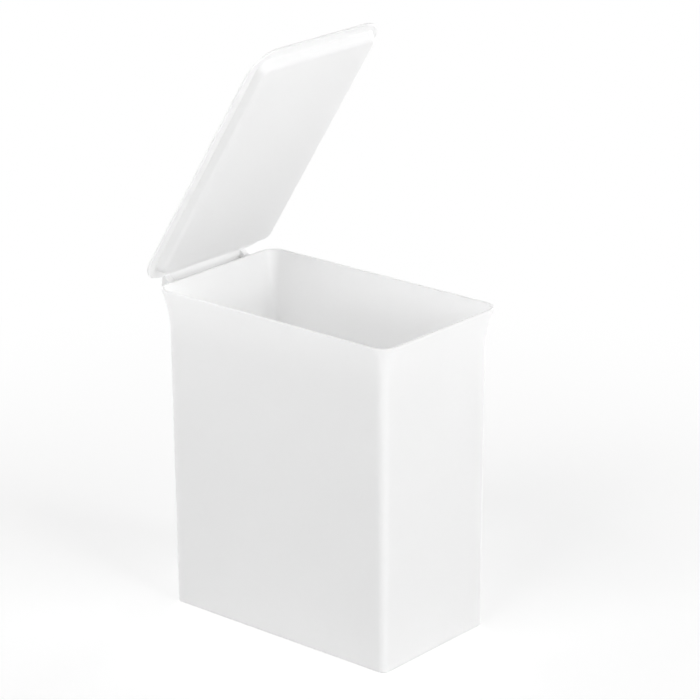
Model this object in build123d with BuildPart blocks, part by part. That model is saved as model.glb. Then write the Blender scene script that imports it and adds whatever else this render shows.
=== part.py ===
"""Detergent storage box: a tall narrow box with a flared mouth, and a sunk lid hinged at one short end.

Millimetres, +Z up. The origin is the middle of the base, on the surface that the box stands on.
X runs along the long side of the box, and the hinge is at the -X end. The lid stands open.
"""

import os
from math import acos, atan2, cos, degrees, hypot, radians, sin, sqrt, tan

from build123d import *

# Box
base_length = 164.0
base_width = 92.0
box_height = 200.0
base_corner = 4.0  # plan radius of the upright corners at the base
draft = 0.4  # degrees that each wall leans outwards
wall = 2.0
floor_thickness = 2.0
foot_round = 1.2
floor_fillet = 1.5
flare_out = 5.0  # how far the mouth spreads beyond the straight wall
flare_height = 28.0
rim_round = 0.6

# Lid
side_overhang = 3.0  # flange past the rim on the long sides
front_overhang = 3.0  # flange past the rim at the free end
hinge_overhang = 1.1  # flange past the rim at the hinge end
lid_corner = 18.0
flange_thickness = 1.5
flange_chamfer = 0.4
seat_gap = 0.1  # between the closed flange and the rim
lid_wall = 1.8
plug_depth = 5.5
plug_slope = 24.0  # degrees that the plug's sides lean in
plug_clearance = 0.7  # between the plug and the mouth
plug_hinge_clearance = 4.7  # the same at the hinge end, where the plug swings in
plug_round = 3.0
plug_root_fillet = 1.0
recess_fillet = 1.2
recess_round = 1.5
lid_opening = 58.0  # degrees from closed

# Hinge
hinge_out = 5.2  # axis beyond the rim's outer edge
hinge_drop = 5.7  # axis below the top of the rim
pin_radius = 1.6
pin_clearance = 0.08  # radial, pin in eye
pin_chamfer = 0.4
bracket_radius = 2.6
bracket_thickness = 4.0
hood_clearance = 0.4  # hood round the brackets
hood_thickness = 1.6
hood_half_width = 35.0
hood_end = 175.0  # degrees round the axis, from the lid's plane
eye_thickness = 4.0
eye_gap = 0.3  # between an eye and its bracket

# Rim and flare, worked out from the wall's section
half_length = base_length / 2
half_width = base_width / 2
wall_lean = tan(radians(draft))
flare_start = box_height - flare_height
rim_grow = box_height * wall_lean + flare_out
rim_half_length = half_length + rim_grow
rim_half_width = half_width + rim_grow
rim_corner = base_corner + rim_grow
flare_rise = (flare_height * wall_lean + flare_out, flare_height)
flare_across = flare_rise[0] * cos(radians(draft)) - flare_rise[1] * sin(radians(draft))
flare_radius = hypot(*flare_rise) ** 2 / (2 * flare_across)
flare_centre_out = flare_start * wall_lean + flare_radius * cos(radians(draft))
flare_centre_height = flare_start - flare_radius * sin(radians(draft))


def flare_at(height):
    """Distance of the flare's outer face from the base outline at a height."""
    return flare_centre_out - sqrt(flare_radius**2 - (height - flare_centre_height) ** 2)


# Hinge axis, and the frames that the lid is drawn in
hinge_x = -(rim_half_length + hinge_out)
hinge_z = box_height - hinge_drop
opening = radians(lid_opening)
lid_along = (cos(opening), 0, sin(opening))
lid_up = (-sin(opening), 0, cos(opening))
lid_frame = Plane(origin=(hinge_x, 0, hinge_z), x_dir=lid_along, z_dir=lid_up)
hinge_section = Plane(origin=(hinge_x, 0, hinge_z), x_dir=lid_along, z_dir=(0, -1, 0))
seat = hinge_drop + seat_gap  # underside of the flange above the axis
lid_top = seat + flange_thickness

# Places along the hinge axis, out from the middle
eye_inner = hood_half_width - eye_thickness
eye_middle = hood_half_width - eye_thickness / 2
bracket_outer = eye_inner - eye_gap
bracket_middle = bracket_outer - bracket_thickness / 2
pin_length = hood_half_width - bracket_outer

with BuildPart() as box_body:
    # The wall's section, swept round the base outline
    with BuildLine() as base_outline:
        FilletPolyline(
            (half_length, 0),
            (half_length, half_width),
            (-half_length, half_width),
            (-half_length, 0),
            radius=base_corner,
        )
        mirror(about=Plane.XZ)
    with BuildSketch(Plane.XZ) as wall_section:
        with BuildLine():
            flare_foot = half_length + flare_start * wall_lean
            lean = (wall_lean, 1)
            Line((half_length, 0), (flare_foot, flare_start))
            TangentArc((flare_foot, flare_start), (rim_half_length, box_height), tangent=lean)
            Line((rim_half_length, box_height), (rim_half_length - wall, box_height))
            TangentArc((flare_foot - wall, flare_start), (rim_half_length - wall, box_height), tangent=lean)
            Line((flare_foot - wall, flare_start), (half_length - wall, 0))
            Line((half_length - wall, 0), (half_length, 0))
        make_face()
        fillet(wall_section.vertices().group_by(Axis.Y)[-1], radius=rim_round)
        fillet(wall_section.vertices().group_by(Axis.Y)[0].sort_by(Axis.X)[-1], radius=foot_round)
    sweep(path=base_outline.line)

    # The floor, let into the walls
    with BuildSketch():
        RectangleRounded(base_length - wall, base_width - wall, base_corner - wall / 2)
    extrude(amount=floor_thickness)
    floor_upper = box_body.faces().filter_by(Axis.Z).sort_by(Axis.Z)[1]
    fillet(floor_upper.edges(), radius=floor_fillet)

    # Hinge brackets, rooted in the middle of the wall
    bracket_top = hinge_z + bracket_radius
    bracket_foot = hinge_z - bracket_radius
    root_top = -(half_length + flare_at(bracket_top) - wall / 2)
    root_foot = -(half_length + flare_at(bracket_foot) - wall / 2)
    with BuildSketch(Plane.XZ.offset(bracket_middle), Plane.XZ.offset(-bracket_middle)):
        with Locations((hinge_x, hinge_z)):
            Circle(bracket_radius)
        with BuildLine():
            Polyline(
                (hinge_x, bracket_top),
                (root_top, bracket_top),
                (root_foot, bracket_foot),
                (hinge_x, bracket_foot),
                close=True,
            )
        make_face()
    extrude(amount=bracket_thickness / 2, both=True)

    # Stub pins on the outer faces of the brackets
    for side in (1, -1):
        outwards = Axis((0, 0, 0), (0, side, 0))
        pin_root = Plane((hinge_x, side * bracket_outer, hinge_z), x_dir=(1, 0, 0), z_dir=(0, side, 0))
        with BuildSketch(pin_root):
            Circle(pin_radius)
        extrude(amount=pin_length)
        pin_ends = box_body.edges(Select.LAST).filter_by(GeomType.CIRCLE).sort_by(outwards)
        chamfer(pin_ends[-1], length=pin_chamfer)
box_body.part.label = "box_body"

# Lid sizes, measured along the lid from the hinge axis
flange_hinge_end = hinge_out - hinge_overhang
flange_free_end = hinge_out + 2 * rim_half_length + front_overhang
flange_length = flange_free_end - flange_hinge_end
flange_middle = (flange_free_end + flange_hinge_end) / 2
flange_width = 2 * (rim_half_width + side_overhang)
plug_hinge_end = hinge_out + wall + plug_hinge_clearance
plug_free_end = hinge_out + 2 * rim_half_length - wall - plug_clearance
plug_length = plug_free_end - plug_hinge_end
plug_middle = (plug_free_end + plug_hinge_end) / 2
plug_width = 2 * (rim_half_width - wall - plug_clearance)
plug_corner = rim_corner - wall - plug_clearance
recess_depth = plug_depth + flange_thickness - lid_wall
recess_inset = lid_wall / cos(radians(plug_slope)) - flange_thickness * tan(radians(plug_slope))

# The hood leaves the flange's top edge, and runs tangent to the circle that it makes round the axis
hood_inner = bracket_radius + hood_clearance
hood_outer = hood_inner + hood_thickness
hood_start = (flange_hinge_end + flange_chamfer, lid_top)
hood_turn = atan2(hood_start[1], hood_start[0]) + acos(hood_outer / hypot(*hood_start))
hood_arc = hood_end - degrees(hood_turn)
hood_outside = (hood_outer * cos(hood_turn), hood_outer * sin(hood_turn))
hood_inside = (hood_inner * cos(hood_turn), hood_inner * sin(hood_turn))
hood_root = (hood_inside[0] - (seat - hood_inside[1]) * tan(hood_turn), seat)


def polar(radius, angle):
    """Point in the hinge section at a radius and an angle in degrees."""
    return (radius * cos(radians(angle)), radius * sin(radians(angle)))


with BuildPart() as lid:
    lid_upwards = Axis((0, 0, 0), lid_up)

    # Flange, and the plug below it with a recess of even wall above
    with BuildSketch(lid_frame.offset(seat)):
        with Locations((flange_middle, 0)):
            RectangleRounded(flange_length, flange_width, lid_corner)
    extrude(amount=flange_thickness)
    with BuildSketch(lid_frame.offset(seat)):
        with Locations((plug_middle, 0)):
            RectangleRounded(plug_length, plug_width, plug_corner)
    extrude(amount=-plug_depth, taper=plug_slope)
    with BuildSketch(lid_frame.offset(lid_top)):
        with Locations((plug_middle, 0)):
            RectangleRounded(
                plug_length - 2 * recess_inset, plug_width - 2 * recess_inset, plug_corner - recess_inset
            )
    extrude(amount=-recess_depth, taper=plug_slope, mode=Mode.SUBTRACT)

    # Rounds and chamfers, from the plug's face up to the flange's top
    level_faces = lid.faces().filter_by(lid_upwards).sort_by(lid_upwards)
    plug_face, recess_floor, flange_under, flange_upper = level_faces
    fillet(plug_face.edges(), radius=plug_round)
    fillet(recess_floor.edges(), radius=recess_fillet)
    fillet(flange_under.inner_wires()[0].edges(), radius=plug_root_fillet)
    fillet(flange_upper.inner_wires()[0].edges(), radius=recess_round)
    chamfer(flange_under.outer_wire().edges() + flange_upper.outer_wire().edges(), length=flange_chamfer)

    # Hood over the brackets
    with BuildSketch(hinge_section):
        with BuildLine():
            Line(hood_outside, hood_start)
            Line(hood_start, (hood_root[0], lid_top))
            Line((hood_root[0], lid_top), hood_root)
            Line(hood_root, hood_inside)
            CenterArc((0, 0), hood_inner, degrees(hood_turn), hood_arc)
            Line(polar(hood_inner, hood_end), polar(hood_outer, hood_end))
            CenterArc((0, 0), hood_outer, degrees(hood_turn), hood_arc)
        make_face()
    extrude(amount=hood_half_width, both=True)

    # Eyes at the ends of the hood, bored for the pins
    with BuildSketch(hinge_section.offset(eye_middle), hinge_section.offset(-eye_middle)):
        Circle(hood_outer)
        with BuildLine():
            Polyline(
                hood_outside,
                hood_start,
                (hood_root[0], lid_top),
                hood_root,
                (hood_outer, 0),
                (0, 0),
                close=True,
            )
        make_face()
    extrude(amount=eye_thickness / 2, both=True)
    with BuildSketch(hinge_section):
        Circle(pin_radius + pin_clearance)
    extrude(amount=hood_half_width, both=True, mode=Mode.SUBTRACT)
lid.part.label = "lid"

os.makedirs("parts", exist_ok=True)
export_step(box_body.part, "parts/box_body.step")
export_step(lid.part, "parts/lid.step")
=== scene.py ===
# %% [markdown]
# # A white detergent box in a white studio
#
# The object is a tall narrow box of white polypropylene with a flared mouth, and a sunk lid that stands open on a
# hinge at one short end. Both pieces come from the CAD model at their real size, so this lesson is about finish and
# light: how to make plain white plastic read as plastic when everything around it is white too.

import bpy
import numpy as np
from mathutils import Matrix, Vector

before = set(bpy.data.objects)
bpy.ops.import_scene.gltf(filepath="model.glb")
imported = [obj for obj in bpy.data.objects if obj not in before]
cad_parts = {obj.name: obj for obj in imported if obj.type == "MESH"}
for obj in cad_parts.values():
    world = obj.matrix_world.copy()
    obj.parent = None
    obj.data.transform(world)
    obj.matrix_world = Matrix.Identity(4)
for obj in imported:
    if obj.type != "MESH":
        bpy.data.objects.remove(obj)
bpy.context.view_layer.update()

# %% [markdown]
# ## The camera
#
# The box was photographed from well back with a long lens, a little above its rim. The place, the lens and a slight
# roll were found by fitting the corners of the box and of the lid. A camera looks along its own -Z, so its three axes
# become the columns of its matrix.

# %% Place the camera
azimuth, elevation, roll = np.radians([40.4755, 19.4675, -0.2505])
look_at = Vector((0.008016, 0.011756, 0.16572))
camera_distance = 1.86164
focal_pixels, image_pixels, sensor_width = 3182.99, 700, 36.0

back = Vector((np.sin(azimuth) * np.cos(elevation), -np.cos(azimuth) * np.cos(elevation), np.sin(elevation)))
level_right = Vector((np.cos(azimuth), np.sin(azimuth), 0))
level_up = back.cross(level_right)
right = level_right * np.cos(roll) + level_up * np.sin(roll)
up = level_up * np.cos(roll) - level_right * np.sin(roll)

camera_data = bpy.data.cameras.new("camera")
camera_data.sensor_width = sensor_width
camera_data.lens = focal_pixels / image_pixels * sensor_width
camera = bpy.data.objects.new("camera", camera_data)
bpy.context.scene.collection.objects.link(camera)
camera_axes = Matrix((right, up, back)).transposed()
camera.matrix_world = Matrix.Translation(look_at + back * camera_distance) @ camera_axes.to_4x4()
bpy.context.scene.camera = camera
print("lens", round(camera_data.lens, 1), "mm, camera at", [round(c, 3) for c in camera.location])

# %% [markdown]
# ## The floor
#
# The box stands on a white sheet that runs out of the picture on all sides. A plane would do, but a disc looks the
# same from every side. It is a polar grid, with radius along one parameter and angle along the other, and its rings
# lie closer together near the box, where the shadow falls.

# %% Make the floor


def disc_surface(radius, rings, spokes):
    """Polar grid: ring i has radius times (i / rings) squared, spoke j the angle 2 pi j / spokes, height nil."""
    ring = radius * (np.arange(1, rings + 1) / rings) ** 2
    angle = 2 * np.pi * np.arange(spokes) / spokes
    plan = ring[:, None, None] * np.stack([np.cos(angle), np.sin(angle)], axis=-1)
    points = np.concatenate([plan.reshape(-1, 2), [[0, 0]]])
    points = np.column_stack([points, np.zeros(len(points))])
    inner = np.arange((rings - 1) * spokes).reshape(rings - 1, spokes)
    turned = np.roll(inner, -1, axis=1)
    quads = np.stack([inner, inner + spokes, turned + spokes, turned], axis=-1).reshape(-1, 4)
    hub = np.stack([np.full(spokes, len(points) - 1), np.arange(spokes), (np.arange(spokes) + 1) % spokes], axis=-1)
    return points, quads.tolist() + hub.tolist()


floor_points, floor_faces = disc_surface(radius=3.0, rings=24, spokes=96)
floor_mesh = bpy.data.meshes.new("floor")
floor_mesh.from_pydata(floor_points.tolist(), [], floor_faces)
floor = bpy.data.objects.new("floor", floor_mesh)
bpy.context.scene.collection.objects.link(floor)
print("floor faces:", len(floor_faces))

# %% [markdown]
# A material in Blender is a tree of nodes, and every finish below is wired by hand. The same few jobs come up each
# time: a new node with its settings, an empty material, a grey of some level. Each is a small helper here, so that the
# cells that follow show only what is special about a finish.

# %% Make helpers for node trees


def grey(level):
    """Opaque colour with the same level in red, green and blue."""
    return (level, level, level, 1)


def add_node(tree, kind, **settings):
    """New node of a kind in a tree, with the settings that it is given."""
    node = tree.nodes.new("ShaderNode" + kind)
    for name, value in settings.items():
        setattr(node, name, value)
    return node


def new_material(name):
    """Material with an empty node tree, its tree and its output node."""
    material = bpy.data.materials.new(name)
    material.use_nodes = True
    material.node_tree.nodes.clear()
    return material, material.node_tree, add_node(material.node_tree, "OutputMaterial")


def seen_directly(tree):
    """Socket that is 1 for what the camera sees, straight or by way of a gloss or a clear piece."""
    light_path = add_node(tree, "LightPath")
    largest = light_path.outputs["Is Camera Ray"]
    for ray in ("Is Glossy Ray", "Is Transmission Ray"):
        either = add_node(tree, "Math", operation="MAXIMUM")
        tree.links.new(largest, either.inputs[0])
        tree.links.new(light_path.outputs[ray], either.inputs[1])
        largest = either.outputs[0]
    return largest


print("helpers for node trees are ready")

# %% [markdown]
# White paper is a plain diffuse white, and that is what lights the box from below. What the camera sees is mixed
# apart. Near the box it is half a white glow and half shaded paper, so that the shadow of the box still falls on it.
# More light on the paper would also make it white, but it would bleach the box.

# %% Finish the floor near the box
floor_white = 0.95
shadow_share = 0.5
floor_glow = 0.58

paper, tree, output = new_material("white_paper")
lit = add_node(tree, "BsdfDiffuse")
lit.inputs["Color"].default_value = grey(floor_white)
faint = add_node(tree, "BsdfDiffuse")
faint.inputs["Color"].default_value = grey(shadow_share)
glow = add_node(tree, "Emission")
glow.inputs["Strength"].default_value = floor_glow
near = add_node(tree, "AddShader")
tree.links.new(faint.outputs[0], near.inputs[0])
tree.links.new(glow.outputs[0], near.inputs[1])
print("floor near the box: glow", floor_glow, "shaded share", shadow_share)

# %% [markdown]
# Further out the shading fades away, so that the sheet joins the white background without an edge. The fade goes by
# the distance from the middle of the disc, which is the length of the Object coordinate. A strength of 1 is white.

# %% Fade the floor into the background
plain_white = 1.0
fade_start, fade_end = 0.15, 0.6

far = add_node(tree, "Emission")
far.inputs["Strength"].default_value = plain_white
place = add_node(tree, "TexCoord")
distance_out = add_node(tree, "VectorMath", operation="LENGTH")
fade = add_node(tree, "MapRange", interpolation_type="SMOOTHSTEP")
fade.inputs["From Min"].default_value = fade_start
fade.inputs["From Max"].default_value = fade_end
tree.links.new(place.outputs["Object"], distance_out.inputs[0])
tree.links.new(distance_out.outputs["Value"], fade.inputs["Value"])

shown = add_node(tree, "MixShader")
tree.links.new(fade.outputs["Result"], shown.inputs[0])
tree.links.new(near.outputs[0], shown.inputs[1])
tree.links.new(far.outputs[0], shown.inputs[2])
mix = add_node(tree, "MixShader")
tree.links.new(seen_directly(tree), mix.inputs[0])
tree.links.new(lit.outputs[0], mix.inputs[1])
tree.links.new(shown.outputs[0], mix.inputs[2])
tree.links.new(mix.outputs[0], output.inputs["Surface"])
floor_mesh.materials.append(paper)
print("floor fades out from", fade_start, "to", fade_end, "m")

# %% [markdown]
# ## The light
#
# A white product is lit softly from large sources, and each side gets its own amount, because the small steps of grey
# from side to side are all that shows its form. A dim white world fills in everywhere. The background that the
# camera sees is a second, plain white world at a strength of 1.

# %% Set the world
world_level = 0.1

bpy.context.scene.view_settings.view_transform = "Standard"
world = bpy.data.worlds.new("studio")
world.use_nodes = True
bpy.context.scene.world = world
tree = world.node_tree
background = tree.nodes["Background"]
background.inputs["Color"].default_value = grey(1)
background.inputs["Strength"].default_value = world_level
white = add_node(tree, "Background")
white.inputs["Color"].default_value = grey(1)
white.inputs["Strength"].default_value = plain_white
mix = add_node(tree, "MixShader")
tree.links.new(seen_directly(tree), mix.inputs[0])
tree.links.new(background.outputs[0], mix.inputs[1])
tree.links.new(white.outputs[0], mix.inputs[2])
tree.links.new(mix.outputs[0], tree.nodes["World Output"].inputs["Surface"])
print("world at", world_level)

# %% [markdown]
# The lamp on the right makes the short side and the underside of the lid the lightest, and the lamp in front is
# weaker, so that the long side stays a shade darker. The two lamps on the left keep the hinge end from going grey. The
# lamp behind hangs low: it lights the far side and shines through the wall into the box. All of them are large and
# far off, so that every side is lit evenly from top to foot.

# %% Hang the soft lamps
lamp_centre = Vector((0.02, 0, 0.15))
lamp_distance = 2.6
soft_lamps = {
    # name: azimuth from +X and elevation in degrees, width in metres, power in watts
    "right": (0, 20, 1.5, 43.5),
    "front": (-90, 38, 1.5, 29.5),
    "front_left": (-140, 12, 1.2, 13.0),
    "behind": (90, 8, 1.0, 30.0),
    "left": (175, 24, 1.5, 12.0),
}


def outwards(azimuth_degrees, elevation_degrees):
    """Direction at two angles: cosines of both in plan, sine of the elevation upwards."""
    a, e = np.radians([azimuth_degrees, elevation_degrees])
    return Vector((np.cos(a) * np.cos(e), np.sin(a) * np.cos(e), np.sin(e)))


def hang_lamp(name, direction, width, power):
    """Square lamp out from the centre, turned so that its -Z points back at it, and left out of the picture itself."""
    lamp_data = bpy.data.lights.new(name, "AREA")
    lamp_data.size = width
    lamp_data.energy = power
    lamp = bpy.data.objects.new(name, lamp_data)
    bpy.context.scene.collection.objects.link(lamp)
    lamp.location = lamp_centre + lamp_distance * direction
    lamp.rotation_euler = (lamp_centre - lamp.location).to_track_quat("-Z", "Y").to_euler()
    lamp.visible_camera = False


for name, (lamp_azimuth, lamp_elevation, width, power) in soft_lamps.items():
    hang_lamp(name, outwards(lamp_azimuth, lamp_elevation), width, power)
print("soft lamps:", list(soft_lamps), "at", lamp_distance, "m")

# %% [markdown]
# ## The plastic
#
# Polypropylene comes out of the mould with a satin skin: the steel was stoned along the direction in which the part is
# pulled out, so the skin has a fine grain and fainter draw marks, and the melt leaves soft clouds in the tone. A flat
# colour would miss all three. Two pieces share the skin, so it is a node group with named inputs, built once.

# %% Build the satin skin


def group_socket(group, name, kind, direction, value=None):
    """Named socket on a group's outside, with its starting value."""
    socket = group.interface.new_socket(name=name, in_out=direction, socket_type="NodeSocket" + kind)
    if value is not None:
        socket.default_value = value


satin = bpy.data.node_groups.new("moulded_satin", "ShaderNodeTree")
group_socket(satin, "Place", "Vector", "INPUT")
group_socket(satin, "Colour", "Color", "INPUT", grey(0.96))
group_socket(satin, "Cloud", "Float", "INPUT", 0.01)
group_socket(satin, "Roughness", "Float", "INPUT", 0.45)
group_socket(satin, "Roughness spread", "Float", "INPUT", 0.06)
group_socket(satin, "Draw marks", "Float", "INPUT", 0.3)
for name, kind in (("Colour", "Color"), ("Roughness", "Float"), ("Height", "Float")):
    group_socket(satin, name, kind, "OUTPUT")
print("satin skin sockets:", [item.name for item in satin.interface.items_tree])

# %% [markdown]
# Three noises make the skin. The clouds are some 60 mm wide and scale the colour. The grain is under a millimetre wide.
# The draw marks are the grain again, stretched along the pull. Grain and marks are mixed into one height, and both the
# clouds and the grain move the roughness a little.

# %% Wire the satin skin
cloud_scale, cloud_detail = 16.0, 2.0
grain_scale, grain_detail = 1400.0, 1.0
draw_stretch = 0.03
noise_mean = 0.5

inside = satin.nodes
group_in = inside.new("NodeGroupInput")
group_out = inside.new("NodeGroupOutput")


def noise(scale, detail, place):
    """Noise between 0 and 1, scale cells to the metre, at a place."""
    node = add_node(satin, "TexNoise")
    node.inputs["Scale"].default_value = scale
    node.inputs["Detail"].default_value = detail
    satin.links.new(place, node.inputs["Vector"])
    return node.outputs["Fac"]


def calculate(operation, *terms):
    """Math node on sockets or numbers, in their order."""
    node = add_node(satin, "Math", operation=operation)
    for term, socket in zip(terms, node.inputs):
        if isinstance(term, bpy.types.NodeSocket):
            satin.links.new(term, socket)
        else:
            socket.default_value = term
    return node.outputs[0]


stretched = add_node(satin, "Mapping")
stretched.inputs["Scale"].default_value = (1, 1, draw_stretch)
satin.links.new(group_in.outputs["Place"], stretched.inputs["Vector"])
clouds = noise(cloud_scale, cloud_detail, group_in.outputs["Place"])
grain = noise(grain_scale, grain_detail, group_in.outputs["Place"])
marks = noise(grain_scale, grain_detail, stretched.outputs[0])

cloud_swing = calculate("MULTIPLY", calculate("SUBTRACT", clouds, noise_mean), group_in.outputs["Cloud"])
tint = add_node(satin, "VectorMath", operation="SCALE")
satin.links.new(group_in.outputs["Colour"], tint.inputs[0])
satin.links.new(calculate("ADD", cloud_swing, 1.0), tint.inputs["Scale"])
satin.links.new(tint.outputs[0], group_out.inputs["Colour"])

mean_of_both = calculate("MULTIPLY", calculate("ADD", clouds, grain), 1 / 2)
rough_swing = calculate("SUBTRACT", mean_of_both, noise_mean)
rough_swing = calculate("MULTIPLY", rough_swing, group_in.outputs["Roughness spread"])
satin.links.new(calculate("ADD", rough_swing, group_in.outputs["Roughness"]), group_out.inputs["Roughness"])

marks_share = calculate("MULTIPLY", marks, group_in.outputs["Draw marks"])
satin.links.new(calculate("ADD", grain, marks_share), group_out.inputs["Height"])
print("satin skin nodes:", len(inside))

# %% [markdown]
# ## The box and the lid
#
# White polypropylene is not opaque: light goes a few millimetres into it and comes out again, so thin walls glow a
# little from behind. Subsurface scattering does this. The lid stands free, with light on both its sides, and gets the
# shorter reach, so that it does not glow more than the box. It was also moulded flat, so its skin is turned by the
# angle at which it stands open.

# %% Finish the box and the lid
skin_depth = 0.00002
refraction = 1.49
all_scatters = 1.0
same_for_all_colours = (1, 1, 1)
lid_opening = np.radians(58)
finishes = {
    # node: whiteness, scattering reach in metres, turn of the skin about Y, draw marks
    "box_body": (0.96, 0.0045, 0.0, 0.4),
    "lid": (0.96, 0.0035, lid_opening, 0.2),
}

for name, (whiteness, reach, turn, draw_marks) in finishes.items():
    plastic, tree, output = new_material(name + "_polypropylene")
    place = add_node(tree, "TexCoord")
    turned = add_node(tree, "Mapping")
    turned.inputs["Rotation"].default_value = (0, turn, 0)
    skin = add_node(tree, "Group", node_tree=satin)
    skin.inputs["Colour"].default_value = grey(whiteness)
    skin.inputs["Draw marks"].default_value = draw_marks
    bump = add_node(tree, "Bump")
    bump.inputs["Distance"].default_value = skin_depth
    shader = add_node(tree, "BsdfPrincipled")
    shader.inputs["IOR"].default_value = refraction
    shader.inputs["Subsurface Weight"].default_value = all_scatters
    shader.inputs["Subsurface Radius"].default_value = same_for_all_colours
    shader.inputs["Subsurface Scale"].default_value = reach
    tree.links.new(place.outputs["Object"], turned.inputs["Vector"])
    tree.links.new(turned.outputs[0], skin.inputs["Place"])
    tree.links.new(skin.outputs["Colour"], shader.inputs["Base Color"])
    tree.links.new(skin.outputs["Roughness"], shader.inputs["Roughness"])
    tree.links.new(skin.outputs["Height"], bump.inputs["Height"])
    tree.links.new(bump.outputs[0], shader.inputs["Normal"])
    tree.links.new(shader.outputs[0], output.inputs["Surface"])
    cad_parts[name].material_slots[0].material = plastic
    print(f"{name} finished, light reaches {reach * 1000:.1f} mm in")
